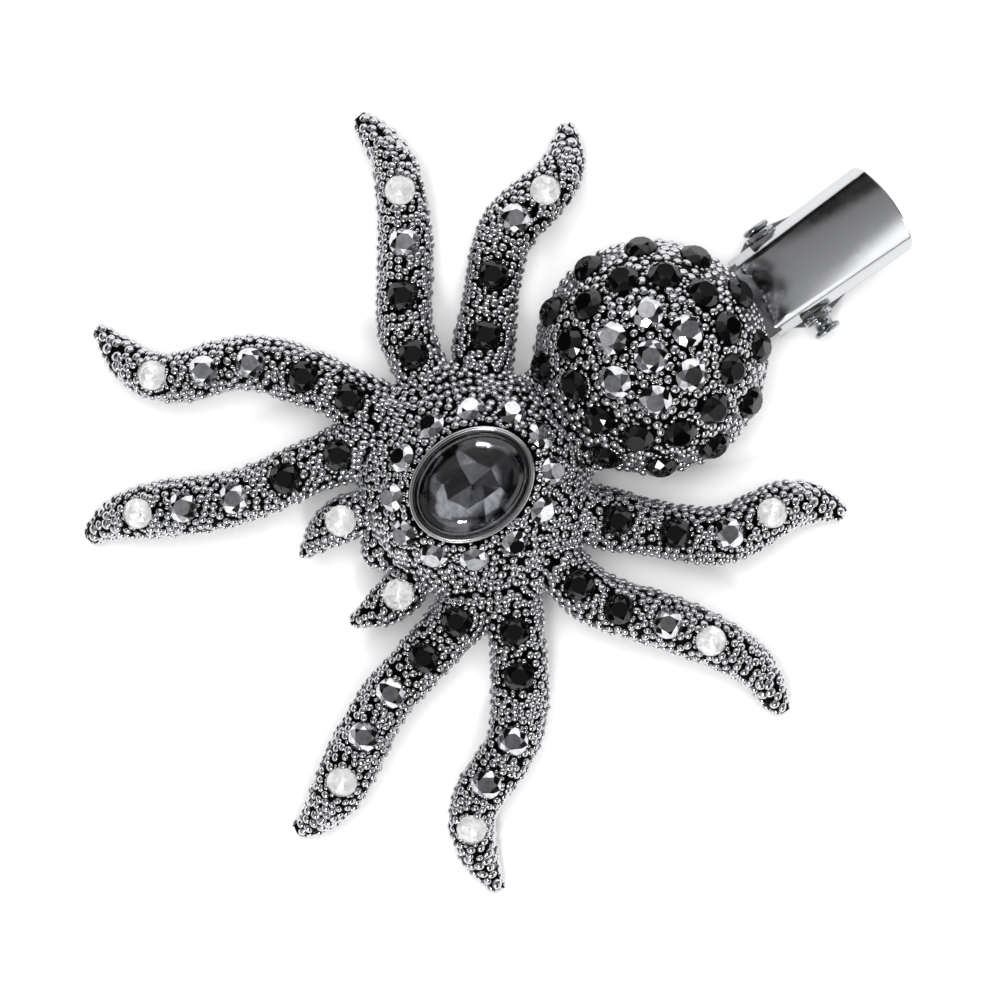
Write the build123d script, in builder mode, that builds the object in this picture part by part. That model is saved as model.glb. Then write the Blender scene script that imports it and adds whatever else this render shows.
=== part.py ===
from build123d import *

import math
import os
from collections import namedtuple

# Spider hair clip: a stone-set casting on a sprung lever clip, lying on its flat lower arm.
# The origin is on the surface below the oval stone, +Y runs to the thumb lever and +Z is up.

# Clip: sheet metal arms
clip_shift = 1.2  # the clip sits this far to the right of the spider's middle
sheet = 0.5
back_height = 3.6  # height of the casting's flat back, which lies on the upper arm
jaw_reach = 4.5  # from the origin to the front end of both jaws
jaw_width = 7.4
jaw_corner = 1.6
fold_setback = 2.95  # from the toothed folds' rear ends to the lower arm's shoulders
fold_depth = 1.0  # of the upper jaw
tooth_pitch = 2.0
tooth_width = 1.8
tooth_depth = 0.6
tooth_gap = 0.1  # from the lower teeth to the upper plate
jaw_side_gap = 0.3  # from the lower jaw's sides to the upper jaw's folds
ear_thick = 0.4
ear_radius = 1.45
arm_gap = 0.12  # from the upper arm's flanges to the lower arm's ears

# Clip: thumb levers
bend_gap = 0.1  # from the abdomen's rear to the bend of the upper lever
lever_rise = 25.0  # degrees
lever_length = 15.0  # from the bend to the end, level with the surface
lever_neck_width = 8.3
lever_end_width = 9.0
lever_neck_crown = 0.15
lever_end_crown = 0.8
lever_flange = 2.0
lever_flange_lean = 0.8
lever_shoulder = 0.9  # outer radius of the bends between the top and the flanges
lever_end_bow = 0.8
lever_end_corner = 1.1
lower_lever_short = 1.2  # from the end of the lower lever to the end of the upper one
lower_lever_width = 8.2
shoulder_run = 3.0  # length over which the lower arm widens to its ears

# Clip: axle and spring
axle_setback = 3.9  # from the lever's bend to the axle
axle_height = 2.3
axle_radius = 1.0
axle_bore_radius = 0.62
axle_hole_gap = 0.08
axle_left_reach = 5.5  # from the clip's middle
axle_right_reach = 6.4
flare_radius = 1.35
flare_length = 0.7
spring_wire = 0.5
spring_turns = 6
spring_pitch_share = 1.04  # of the wire
spring_sleeve = 0.2
spring_gap = 0.1  # from the axle to the coil
spring_leg = 7.0
spring_leg_wire = 0.46  # drawn a little thinner than the coil
spring_leg_gap = 0.05

# Casting: body
shoulder_share = 0.35  # height of a limb's straight side, as a share of its thickness
tip_clearance = 0.5  # from the surface to the tips of the legs
leg_width = 5.2
leg_thick = 2.7
thorax_half_width = 11.6
thorax_half_length = 10.4
thorax_height = 6.4
neck_along = 9.3
neck_width = 11.0
neck_height = 3.6
snout_along = 12.2
snout_width = 7.0
abdomen_along = 19.8
abdomen_radius = 10.6
abdomen_height = 8.8
abdomen_side = 1.4  # straight side below the round of the dome
abdomen_wall = 1.7
abdomen_flat = 1.0  # radius of the flat at the very top

# Casting: how far each limb reaches across and along, to its tip
rear_leg_across = 21.8
rear_leg_along = 25.7
side_leg_across = 33.6
side_leg_along = 11.1
front_side_leg_across = 31.5
front_side_leg_along = -20.0
front_leg_across = 16.3
front_leg_along = -32.0
palp_across = 4.3
palp_along = -16.6

# Round stones: tapered back, girdle, eight crown facets and a table
leg_stone = 2.8
palp_stone = 2.9
thorax_stone = 2.7
abdomen_stone = 3.05
stone_sides = 8
girdle_height = 0.25
crown_height = 0.6
back_depth = 0.8
table_share = 0.56
back_share = 0.6
pocket_gap = 0.07
seat_gap = 0.05
leg_stone_sink = 0.35
dome_stone_sink = 0.12

# Oval setting and stone
setting_width = 9.7
setting_length = 12.1
setting_height = 1.9
setting_wall = 0.4
setting_sink = 0.6
setting_lip = 0.22
oval_gap = 0.1
oval_sides = 16
oval_back_height = 1.05
oval_girdle_height = 0.3
oval_crown_height = 1.35

# A limb's sections, root to tip: where each stands as shares of the limb's reach, its width
# and thickness as shares of the leg's, and how far its back has dropped to the tip, which is
# negative where it is raised inside the thorax's rim. The stones of each side stand at shares
# of the way from the first section to the last.
Section = namedtuple("Section", "across along width thick drop")
Limb = namedtuple("Limb", "name across along sections left_stones right_stones")

rear_leg = Limb(
    "rear_leg",
    rear_leg_across,
    rear_leg_along,
    (
        Section(0.28, 0.20, 1.00, 1.00, -0.10),
        Section(0.38, 0.27, 1.02, 1.00, -0.08),
        Section(0.53, 0.38, 1.00, 1.00, -0.03),
        Section(0.69, 0.51, 0.96, 1.00, 0.04),
        Section(0.79, 0.64, 1.00, 0.98, 0.12),
        Section(0.82, 0.78, 0.94, 0.92, 0.30),
        Section(0.86, 0.90, 0.77, 0.80, 0.58),
        Section(0.94, 0.97, 0.50, 0.60, 0.85),
        Section(1.00, 1.00, 0.24, 0.40, 1.00),
    ),
    (0.20, 0.40, 0.60, 0.74),
    (0.20, 0.39, 0.57, 0.73),
)

side_leg = Limb(
    "side_leg",
    side_leg_across,
    side_leg_along,
    (
        Section(0.25, 0.09, 0.98, 1.00, -0.16),
        Section(0.36, 0.20, 0.96, 1.00, -0.12),
        Section(0.48, 0.33, 0.96, 1.00, -0.06),
        Section(0.59, 0.58, 0.96, 1.00, 0.03),
        Section(0.70, 0.80, 0.92, 0.97, 0.14),
        Section(0.80, 0.95, 0.81, 0.88, 0.34),
        Section(0.91, 1.00, 0.60, 0.68, 0.68),
        Section(1.00, 0.98, 0.26, 0.40, 1.00),
    ),
    (0.16, 0.35, 0.52, 0.69),
    (0.17, 0.32, 0.48, 0.63),
)

front_side_leg = Limb(
    "front_side_leg",
    front_side_leg_across,
    front_side_leg_along,
    (
        Section(0.27, 0.14, 1.06, 1.00, -0.10),
        Section(0.39, 0.22, 1.06, 1.00, -0.08),
        Section(0.53, 0.34, 1.00, 1.00, -0.04),
        Section(0.65, 0.49, 0.96, 1.00, 0.02),
        Section(0.71, 0.66, 0.93, 1.00, 0.09),
        Section(0.76, 0.85, 0.88, 0.96, 0.22),
        Section(0.84, 0.95, 0.74, 0.84, 0.45),
        Section(0.93, 0.99, 0.50, 0.62, 0.78),
        Section(1.00, 1.00, 0.24, 0.40, 1.00),
    ),
    (0.15, 0.30, 0.46, 0.60, 0.76),
    (0.16, 0.29, 0.48, 0.63, 0.78),
)

front_leg = Limb(
    "front_leg",
    front_leg_across,
    front_leg_along,
    (
        Section(0.51, 0.16, 1.00, 1.00, -0.16),
        Section(0.57, 0.27, 1.00, 1.00, -0.13),
        Section(0.63, 0.41, 0.94, 1.00, -0.07),
        Section(0.68, 0.53, 0.94, 1.00, 0.00),
        Section(0.78, 0.66, 0.98, 1.00, 0.08),
        Section(0.91, 0.78, 0.98, 0.96, 0.20),
        Section(1.00, 0.89, 0.74, 0.78, 0.52),
        Section(1.02, 0.96, 0.46, 0.56, 0.83),
        Section(1.00, 1.00, 0.24, 0.40, 1.00),
    ),
    (0.12, 0.30, 0.47, 0.63, 0.78),
    (0.12, 0.27, 0.42, 0.58, 0.74),
)

palp = Limb(
    "palp",
    palp_across,
    palp_along,
    (
        Section(0.60, 0.42, 0.68, 0.95, -0.14),
        Section(0.86, 0.58, 0.78, 0.95, -0.10),
        Section(1.00, 0.72, 0.80, 0.90, -0.05),
        Section(1.00, 0.84, 0.64, 0.75, 0.01),
        Section(0.92, 0.94, 0.36, 0.55, 0.08),
        Section(0.86, 1.00, 0.16, 0.38, 0.14),
    ),
    (0.50,),
    (0.46,),
)

legs = (rear_leg, side_leg, front_side_leg, front_leg)

# Neck and snout: shares of their own reach along, width and thickness
LobeRow = namedtuple("LobeRow", "along width thick")
neck_rows = (
    LobeRow(0.65, 1.15, 1.10),
    LobeRow(1.00, 1.00, 1.00),
    LobeRow(1.40, 1.20, 1.25),
)
snout_rows = (
    LobeRow(0.62, 1.00, 1.00),
    LobeRow(0.84, 0.78, 0.95),
    LobeRow(0.96, 0.42, 0.70),
    LobeRow(1.00, 0.18, 0.45),
)

# Thorax, from its back up to the flat seat of the setting: shares of its half width,
# half length and height. The ring of stones lies on the slope of the last two rows.
DomeRow = namedtuple("DomeRow", "half_width half_length height")
thorax_rows = (
    DomeRow(1.00, 1.00, 0.00),
    DomeRow(0.99, 0.99, 0.25),
    DomeRow(0.86, 0.95, 0.46),
    DomeRow(0.68, 0.86, 0.67),
    DomeRow(0.46, 0.63, 1.00),
)
thorax_ring_share = 0.45  # of the way down the slope
thorax_ring_count = 12

# Abdomen stones: one at the pole, then rings, each a number of equal steps down the dome.
# The lowest ring is open where it would meet the neck.
RingRow = namedtuple("RingRow", "step count turn open_at_neck")
abdomen_ring_step = 20.6  # degrees
abdomen_rings = (
    RingRow(1, 6, 0, False),
    RingRow(2, 12, 15, False),
    RingRow(3, 12, 0, True),
)

# Worked out from the sizes above
tip_drop = back_height - tip_clearance
plate_under = back_height - sheet
dome_radius = (abdomen_radius**2 + (abdomen_height - abdomen_side) ** 2) / (
    2 * (abdomen_height - abdomen_side)
)
lever_bend = abdomen_along + abdomen_radius + bend_gap
lever_end = lever_bend + lever_length
lower_lever_end = lever_end - lower_lever_short
axle_along = lever_bend + axle_setback
ear_front = axle_along - ear_radius
ear_rear = axle_along + ear_radius
fold_rear = ear_front - shoulder_run - fold_setback
rise = math.radians(lever_rise)
lever_thick = sheet / math.cos(rise)
fold_start = jaw_corner - jaw_reach
lower_jaw_half = jaw_width / 2 - sheet - jaw_side_gap
abdomen_axis = Axis((0, abdomen_along, 0), (0, 0, 1))
axle_point = Vector(clip_shift, axle_along, axle_height)
setting_floor = back_height + thorax_height - setting_sink
oval_half_width = setting_width / 2 - setting_wall - oval_gap
oval_half_length = setting_length / 2 - setting_wall - oval_gap


def limb_stands(limb, side):
    # Middle of each section's back, with the limb's direction there as seen from above
    spots = [
        Vector(
            side * row.across * limb.across,
            row.along * limb.along,
            back_height - row.drop * tip_drop,
        )
        for row in limb.sections
    ]
    stands = []
    for place, spot in enumerate(spots):
        before = spots[max(place - 1, 0)]
        after = spots[min(place + 1, len(spots) - 1)]
        heading = Vector(after.X - before.X, after.Y - before.Y, 0).normalized()
        stands.append((spot, heading))
    return stands


def arched_profile(plane, width, thick):
    # Flat back, low straight sides and an arched top
    half = width / 2
    shoulder = thick * shoulder_share
    with BuildSketch(plane) as profile:
        with BuildLine():
            Polyline((-half, shoulder), (-half, 0), (half, 0), (half, shoulder))
            ThreePointArc((half, shoulder), (0, thick), (-half, shoulder))
        make_face()
    return profile.sketch


def limb_profiles(limb, side):
    profiles = []
    for row, (spot, heading) in zip(limb.sections, limb_stands(limb, side)):
        across = Vector(0, 0, 1).cross(heading)
        section_plane = Plane(origin=spot, x_dir=across, z_dir=heading)
        profiles.append(arched_profile(section_plane, row.width * leg_width, row.thick * leg_thick))
    return profiles


def lobe_profiles(rows, along, width, thick):
    profiles = []
    for row in rows:
        lobe_plane = Plane((0, row.along * along, back_height), x_dir=(1, 0, 0), z_dir=(0, -1, 0))
        profiles.append(arched_profile(lobe_plane, row.width * width, row.thick * thick))
    return profiles


def dome_profile(radius, height, side):
    # Half section of a dome on the casting's back: a straight side, a round and a small flat
    round_radius = (radius**2 + (height - side) ** 2) / (2 * (height - side))
    foot_turn = math.asin(radius / round_radius)
    flat_turn = math.asin(abdomen_flat / round_radius)
    middle_turn = (foot_turn + flat_turn) / 2
    middle = (
        round_radius * math.sin(middle_turn),
        height - round_radius + round_radius * math.cos(middle_turn),
    )
    flat_height = height - round_radius + round_radius * math.cos(flat_turn)
    dome_plane = Plane((0, abdomen_along, back_height), x_dir=(1, 0, 0), z_dir=(0, -1, 0))
    with BuildSketch(dome_plane) as profile:
        with BuildLine():
            Polyline((abdomen_flat, flat_height), (0, flat_height), (0, 0), (radius, 0), (radius, side))
            ThreePointArc((radius, side), middle, (abdomen_flat, flat_height))
        make_face()
    return profile.sketch


def limb_stone_planes(limb, side):
    # Planes square to the limb's ridge, where its stones sit
    ridge = Spline(
        *[
            spot + Vector(0, 0, row.thick * leg_thick)
            for row, (spot, heading) in zip(limb.sections, limb_stands(limb, side))
        ]
    )
    planes = []
    for share in limb.right_stones if side > 0 else limb.left_stones:
        run = ridge.tangent_at(share)
        across = Vector(0, 0, 1).cross(run).normalized()
        out = run.cross(across)
        spot = ridge.position_at(share) - out * leg_stone_sink
        planes.append(Plane(spot, x_dir=run, z_dir=out))
    return planes


def thorax_stone_planes():
    seat = thorax_rows[-1]
    foot = thorax_rows[-2]
    fall = (seat.height - foot.height) * thorax_height
    tilt = math.atan2(fall, (foot.half_width - seat.half_width) * thorax_half_width)
    width_share = seat.half_width + thorax_ring_share * (foot.half_width - seat.half_width)
    length_share = seat.half_length + thorax_ring_share * (foot.half_length - seat.half_length)
    half_width = thorax_half_width * width_share
    half_length = thorax_half_length * length_share
    height = back_height + thorax_height - thorax_ring_share * fall
    planes = []
    for place in range(thorax_ring_count):
        turn = math.radians(90 + 360 / thorax_ring_count * place)
        spot = Vector(half_width * math.cos(turn), half_length * math.sin(turn), height)
        level = Vector(math.cos(turn) / half_width, math.sin(turn) / half_length, 0).normalized()
        out = level * math.sin(tilt) + Vector(0, 0, math.cos(tilt))
        round_the_ring = Vector(0, 0, 1).cross(level)
        planes.append(Plane(spot - out * dome_stone_sink, x_dir=round_the_ring, z_dir=out))
    return planes


def abdomen_stone_planes():
    middle = Vector(0, abdomen_along, back_height + abdomen_height - dome_radius)
    planes = [Plane(middle + Vector(0, 0, dome_radius - dome_stone_sink))]
    for ring in abdomen_rings:
        lean = math.radians(ring.step * abdomen_ring_step)
        for place in range(ring.count):
            turn = math.radians(90 + ring.turn + 360 / ring.count * place)
            level = Vector(math.cos(turn), math.sin(turn), 0)
            meets_neck = abs(level.X) * abdomen_radius < neck_width / 4 and level.Y < 0
            if ring.open_at_neck and meets_neck:
                continue
            out = level * math.sin(lean) + Vector(0, 0, math.cos(lean))
            spot = middle + out * (dome_radius - dome_stone_sink)
            planes.append(Plane(spot, x_dir=Vector(0, 0, 1).cross(level), z_dir=out))
    return planes


def stone_pockets(planes, diameter):
    depth = back_depth + seat_gap
    with Locations(*[Location(plane.offset(-depth)) for plane in planes]):
        Cylinder(
            diameter / 2 + pocket_gap,
            depth + crown_height + leg_thick,
            align=(Align.CENTER, Align.CENTER, Align.MIN),
            mode=Mode.SUBTRACT,
        )


def cut_stone(diameter):
    # A stone at the origin, with the foot of its girdle on the ground plane
    radius = diameter / 2
    with BuildPart() as gem:
        with BuildSketch(Plane.XY.offset(-back_depth)):
            RegularPolygon(radius * back_share, stone_sides)
        with BuildSketch():
            RegularPolygon(radius, stone_sides)
        loft(ruled=True)
        with BuildSketch():
            RegularPolygon(radius, stone_sides)
        extrude(amount=girdle_height)
        with BuildSketch(Plane.XY.offset(girdle_height)):
            RegularPolygon(radius, stone_sides)
        with BuildSketch(Plane.XY.offset(girdle_height + crown_height)):
            RegularPolygon(radius * table_share, stone_sides, rotation=180 / stone_sides)
        loft(ruled=True)
    return gem.part


def oval_outline(height, share, turn):
    corners = []
    for place in range(oval_sides):
        angle = 2 * math.pi * (place + turn) / oval_sides
        across = share * oval_half_width * math.cos(angle)
        along = share * oval_half_length * math.sin(angle)
        corners.append((across, along))
    with BuildSketch(Plane.XY.offset(setting_floor + setting_wall + seat_gap + height)) as outline:
        with BuildLine():
            Polyline(*corners, close=True)
        make_face()
    return outline.sketch


def lever_width_at(along):
    reach = (along - lever_bend) / lever_length
    return lever_neck_width + (lever_end_width - lever_neck_width) * reach


def lever_profile(along, inset, fall):
    # Section of the upper lever: crowned top, rounded shoulders and leaning flanges
    top_half = lever_width_at(along) / 2 - lever_flange_lean - inset
    foot_half = top_half + lever_flange_lean
    reach = (along - lever_bend) / lever_length
    crown = lever_neck_crown + (lever_end_crown - lever_neck_crown) * reach
    height = back_height + (along - lever_bend) * math.tan(rise) - fall
    section_plane = Plane((clip_shift, along, height), x_dir=(-1, 0, 0), z_dir=(0, 1, 0))
    with BuildSketch(section_plane) as profile:
        with BuildLine():
            Polyline(
                (top_half, 0),
                (foot_half, -lever_flange),
                (-foot_half, -lever_flange),
                (-top_half, 0),
            )
            ThreePointArc((-top_half, 0), (0, crown), (top_half, 0))
        channel = make_face()
        fillet(channel.vertices().group_by(Axis.Y)[-1], radius=lever_shoulder - inset)
    return profile.sketch


def tooth_notches(tip_height, point_height):
    # Vee notches across both folded sides of a jaw
    count = int((fold_rear - fold_start) / tooth_pitch)
    with BuildSketch(Plane.YZ.offset(clip_shift - jaw_width / 2)) as notches:
        with Locations(*[(fold_start + tooth_pitch * (place + 0.5), 0) for place in range(count)]):
            Polygon(
                (-tooth_width / 2, tip_height),
                (tooth_width / 2, tip_height),
                (0, point_height),
                align=None,
            )
    extrude(notches.sketch, amount=jaw_width, mode=Mode.SUBTRACT)


def jaw_fold(outer_half, bottom, height):
    # Upright strips along both sides of a jaw
    for side in (1, -1):
        with BuildSketch(Plane.XY.offset(bottom)) as strip:
            with Locations((clip_shift + side * (outer_half - sheet / 2), (fold_start + fold_rear) / 2)):
                Rectangle(sheet, fold_rear - fold_start)
        extrude(strip.sketch, amount=height)


def ear_pair(inner, foot_height):
    # Ears with round ends about the axle, joined to their arm at the foot's height
    for side in (1, -1):
        face = Plane(axle_point + Vector(side * inner, 0, 0), x_dir=(0, 1, 0), z_dir=(1, 0, 0))
        with BuildSketch(face) as ear:
            Circle(ear_radius)
            with Locations((0, (foot_height - axle_height) / 2)):
                Rectangle(2 * ear_radius, abs(foot_height - axle_height))
        extrude(ear.sketch, amount=side * ear_thick)


def axle_hole():
    with Locations(Location(axle_point, (0, 90, 0))):
        Cylinder(axle_radius + axle_hole_gap, 2 * lever_end_width, mode=Mode.SUBTRACT)


right_and_left = ((1, "right"), (-1, "left"))
limb_planes = {}
leg_planes = []
palp_planes = []
for limb in (*legs, palp):
    for side, word in right_and_left:
        planes = limb_stone_planes(limb, side)
        limb_planes[limb.name, word] = planes
        if limb is palp:
            palp_planes += planes
        else:
            leg_planes += planes
thorax_planes = thorax_stone_planes()
abdomen_planes = abdomen_stone_planes()

with BuildPart() as right_limbs:
    for limb in (*legs, palp):
        loft(limb_profiles(limb, 1))

# Casting: thorax, abdomen, neck, snout, palps and legs in one, with a pocket for each stone
with BuildPart() as spider_casting:
    for row in thorax_rows:
        with BuildSketch(Plane.XY.offset(back_height + row.height * thorax_height)):
            Ellipse(row.half_width * thorax_half_width, row.half_length * thorax_half_length)
    loft()
    revolve(dome_profile(abdomen_radius, abdomen_height, abdomen_side), abdomen_axis)
    loft(lobe_profiles(neck_rows, neck_along, neck_width, neck_height))
    loft(lobe_profiles(snout_rows, -snout_along, snout_width, leg_thick))
    add(right_limbs.part)
    mirror(right_limbs.part, about=Plane.YZ)
    hollow = dome_profile(abdomen_radius - abdomen_wall, abdomen_height - abdomen_wall, abdomen_side)
    revolve(hollow, abdomen_axis, mode=Mode.SUBTRACT)
    stone_pockets(leg_planes, leg_stone)
    stone_pockets(palp_planes, palp_stone)
    stone_pockets(thorax_planes, thorax_stone)
    stone_pockets(abdomen_planes, abdomen_stone)
    with BuildSketch(Plane.XY.offset(setting_floor)):
        Ellipse(setting_width / 2 + seat_gap, setting_length / 2 + seat_gap)
    extrude(amount=setting_height, mode=Mode.SUBTRACT)

# Oval cup, its rim thinned over the stone
with BuildPart() as oval_setting:
    with BuildSketch(Plane.XY.offset(setting_floor)):
        Ellipse(setting_width / 2, setting_length / 2)
    extrude(amount=setting_height)
    rim = oval_setting.faces().sort_by(Axis.Z)[-1].edges()
    chamfer(rim, length=setting_lip)
    with BuildSketch(Plane.XY.offset(setting_floor + setting_wall)):
        Ellipse(setting_width / 2 - setting_wall, setting_length / 2 - setting_wall)
    extrude(amount=setting_height, mode=Mode.SUBTRACT)

# Oval stone: tapered back on the cup's floor, girdle, crown facets and table
with BuildPart() as oval_stone:
    crown_foot = oval_back_height + oval_girdle_height
    table_height = crown_foot + oval_crown_height
    loft([oval_outline(0, back_share, 0), oval_outline(oval_back_height, 1, 0)], ruled=True)
    extrude(oval_outline(oval_back_height, 1, 0), amount=oval_girdle_height)
    loft([oval_outline(crown_foot, 1, 0), oval_outline(table_height, table_share, 0.5)], ruled=True)

# Ring of stones round the setting
thorax_gem = cut_stone(thorax_stone)
with BuildPart() as thorax_stones:
    with Locations(*[Location(plane) for plane in thorax_planes]):
        add(thorax_gem)

# Field of stones on the abdomen
abdomen_gem = cut_stone(abdomen_stone)
with BuildPart() as abdomen_stones:
    with Locations(*[Location(plane) for plane in abdomen_planes]):
        add(abdomen_gem)

# Upper lever, drawn first as a length of crowned channel and then trimmed to its bowed end
with BuildPart() as lever_channel:
    loft([lever_profile(along, 0, 0) for along in (lever_bend, lever_end)], ruled=True)
    inside_ends = (lever_bend - sheet, lever_end + sheet)
    inside = [lever_profile(along, sheet, lever_thick) for along in inside_ends]
    loft(inside, ruled=True, mode=Mode.SUBTRACT)
    with BuildSketch(Plane.XY):
        with BuildLine():
            trim_half = lever_end_width / 2 + arm_gap
            corner_along = lever_end - lever_end_bow
            Polyline(
                (clip_shift + trim_half, corner_along),
                (clip_shift + trim_half, lever_bend),
                (clip_shift - trim_half, lever_bend),
                (clip_shift - trim_half, corner_along),
            )
            ThreePointArc(
                (clip_shift - trim_half, corner_along),
                (clip_shift, lever_end),
                (clip_shift + trim_half, corner_along),
            )
        trim = make_face()
        fillet(trim.vertices().group_by(Axis.Y)[-1], radius=lever_end_corner)
    extrude(amount=lever_end, mode=Mode.INTERSECT)

# Upper arm: plate under the ornament, toothed folds, inner ears and the raised lever
with BuildPart() as clip_upper_arm:
    plate_length = jaw_reach + lever_bend + sheet
    with BuildSketch(Plane.XY.offset(plate_under)):
        with Locations((clip_shift, plate_length / 2 - jaw_reach)):
            plate = Rectangle(jaw_width, plate_length)
        fillet(plate.vertices().group_by(Axis.Y)[0], radius=jaw_corner)
    extrude(amount=sheet)
    jaw_fold(jaw_width / 2, plate_under - fold_depth, fold_depth)
    tooth_notches(plate_under - fold_depth, plate_under - fold_depth + tooth_depth)
    add(lever_channel.part)
    ear_top = back_height + (ear_front - lever_bend) * math.tan(rise) - sheet / 2
    ear_pair(lever_neck_width / 2 - ear_thick, ear_top)
    axle_hole()

# Lower arm: jaw with upturned toothed sides, outer ears and its own lever, flat underneath
with BuildPart() as clip_lower_arm:
    ear_inner = lever_width_at(ear_rear) / 2 + arm_gap
    ear_outer = ear_inner + ear_thick
    with BuildSketch():
        with BuildLine():
            right_side = [
                (clip_shift + lower_jaw_half, -jaw_reach),
                (clip_shift + lower_jaw_half, ear_front - shoulder_run),
                (clip_shift + ear_outer, ear_front),
                (clip_shift + ear_outer, ear_rear),
                (clip_shift + lower_lever_width / 2, ear_rear + shoulder_run),
                (clip_shift + lower_lever_width / 2, lower_lever_end),
            ]
            left_side = [(2 * clip_shift - across, along) for across, along in reversed(right_side)]
            Polyline(*right_side, *left_side, close=True)
        outline = make_face()
        fillet(outline.vertices().group_by(Axis.Y)[0], radius=jaw_corner)
        fillet(outline.vertices().group_by(Axis.Y)[-1], radius=jaw_corner)
    extrude(amount=sheet)
    lower_side_top = plate_under - tooth_gap
    jaw_fold(lower_jaw_half, 0, lower_side_top)
    tooth_notches(lower_side_top, lower_side_top - tooth_depth)
    ear_pair(ear_inner, 0)
    axle_hole()

# Axle: a tubular rivet with flared ends, turned about its own line
with BuildPart() as clip_axle:
    axle_plane = Plane(axle_point, x_dir=(1, 0, 0), z_dir=(0, -1, 0))
    with BuildSketch(axle_plane):
        with BuildLine():
            Polyline(
                (-axle_left_reach, axle_bore_radius),
                (-axle_left_reach, flare_radius),
                (-axle_left_reach + flare_length, axle_radius),
                (axle_right_reach - flare_length, axle_radius),
                (axle_right_reach, flare_radius),
                (axle_right_reach, axle_bore_radius),
                close=True,
            )
        make_face()
    revolve(axis=Axis(axle_point, (1, 0, 0)))

# Spring: close coils round the axle and a straight leg along each arm
with BuildPart() as clip_spring:
    coil_radius = axle_radius + spring_gap + spring_wire / 2
    coil_pitch = spring_wire * spring_pitch_share
    coil_half = (spring_turns - 1) * coil_pitch / 2
    with BuildSketch(axle_plane):
        with Locations(*[(place * coil_pitch - coil_half, coil_radius) for place in range(spring_turns)]):
            Circle(spring_wire / 2)
        with Locations((0, coil_radius)):
            Rectangle(2 * coil_half, spring_sleeve)
    revolve(axis=Axis(axle_point, (1, 0, 0)))
    coil_outer = coil_radius + spring_wire / 2
    above_axle = back_height - lever_thick - axle_height
    upper_room = axle_setback * math.sin(rise) + above_axle * math.cos(rise)
    lower_room = axle_height - sheet
    for side, room, angle in ((1, upper_room, rise), (-1, lower_room, 0)):
        lean = angle + side * math.asin((room - coil_outer - spring_leg_gap) / spring_leg)
        run = Vector(0, math.cos(lean), math.sin(lean))
        rim_point = axle_point + Vector(side * coil_half, 0, 0)
        rim_point += Vector(0, -math.sin(lean), math.cos(lean)) * side * coil_radius
        with BuildSketch(Plane(rim_point, x_dir=(1, 0, 0), z_dir=run)):
            Circle(spring_leg_wire / 2)
        extrude(amount=spring_leg)

os.makedirs("parts", exist_ok=True)

pieces = {
    "spider_casting": spider_casting.part,
    "oval_setting": oval_setting.part,
    "oval_stone": oval_stone.part,
    "thorax_stones": thorax_stones.part,
    "abdomen_stones": abdomen_stones.part,
    "clip_upper_arm": clip_upper_arm.part,
    "clip_lower_arm": clip_lower_arm.part,
    "clip_axle": clip_axle.part,
    "clip_spring": clip_spring.part,
}

# Stones of the legs and palps, each a piece of its own
leg_gem = cut_stone(leg_stone)
palp_gem = cut_stone(palp_stone)
for (limb_name, word), planes in limb_planes.items():
    for place, plane in enumerate(planes, start=1):
        with BuildPart(plane) as limb_stone:
            add(palp_gem if limb_name == "palp" else leg_gem)
        pieces[f"{limb_name}_{word}_stone_{place}"] = limb_stone.part

for name, piece in pieces.items():
    piece.label = name
    export_step(piece, f"parts/{name}.step")
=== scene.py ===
import math
import random

import bmesh
import bpy
import numpy as np
from mathutils import Matrix, Vector


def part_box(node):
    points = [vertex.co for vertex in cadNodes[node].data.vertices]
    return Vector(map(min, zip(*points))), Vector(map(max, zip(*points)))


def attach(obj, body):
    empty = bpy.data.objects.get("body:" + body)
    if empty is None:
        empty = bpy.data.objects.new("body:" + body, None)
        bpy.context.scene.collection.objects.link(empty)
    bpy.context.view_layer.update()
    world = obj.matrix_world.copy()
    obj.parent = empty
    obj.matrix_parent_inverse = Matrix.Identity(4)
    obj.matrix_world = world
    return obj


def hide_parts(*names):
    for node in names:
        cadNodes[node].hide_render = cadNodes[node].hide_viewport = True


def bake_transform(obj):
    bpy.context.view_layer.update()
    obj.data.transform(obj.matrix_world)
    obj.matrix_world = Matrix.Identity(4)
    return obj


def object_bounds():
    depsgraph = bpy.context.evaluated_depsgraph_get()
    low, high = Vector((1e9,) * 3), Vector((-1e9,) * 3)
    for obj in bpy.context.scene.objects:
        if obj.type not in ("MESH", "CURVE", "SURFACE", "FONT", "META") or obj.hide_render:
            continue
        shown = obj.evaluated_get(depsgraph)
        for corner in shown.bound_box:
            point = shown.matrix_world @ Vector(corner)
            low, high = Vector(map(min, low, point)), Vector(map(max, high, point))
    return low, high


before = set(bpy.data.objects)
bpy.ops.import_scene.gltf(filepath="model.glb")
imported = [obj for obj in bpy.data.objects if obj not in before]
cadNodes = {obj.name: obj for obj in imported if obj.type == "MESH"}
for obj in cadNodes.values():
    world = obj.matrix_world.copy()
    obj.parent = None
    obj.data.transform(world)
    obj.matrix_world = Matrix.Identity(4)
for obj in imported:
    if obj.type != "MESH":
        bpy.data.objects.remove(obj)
cadLow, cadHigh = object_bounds()
mm = 0.001
print("frame loaded:", len(cadNodes), "nodes")


def linear(hexColour):
    # sRGB hex to linear light
    parts = [int(hexColour[place:place + 2], 16) / 255 for place in (1, 3, 5)]
    return (*[p / 12.92 if p <= 0.04045 else ((p + 0.055) / 1.055) ** 2.4 for p in parts], 1)


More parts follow.
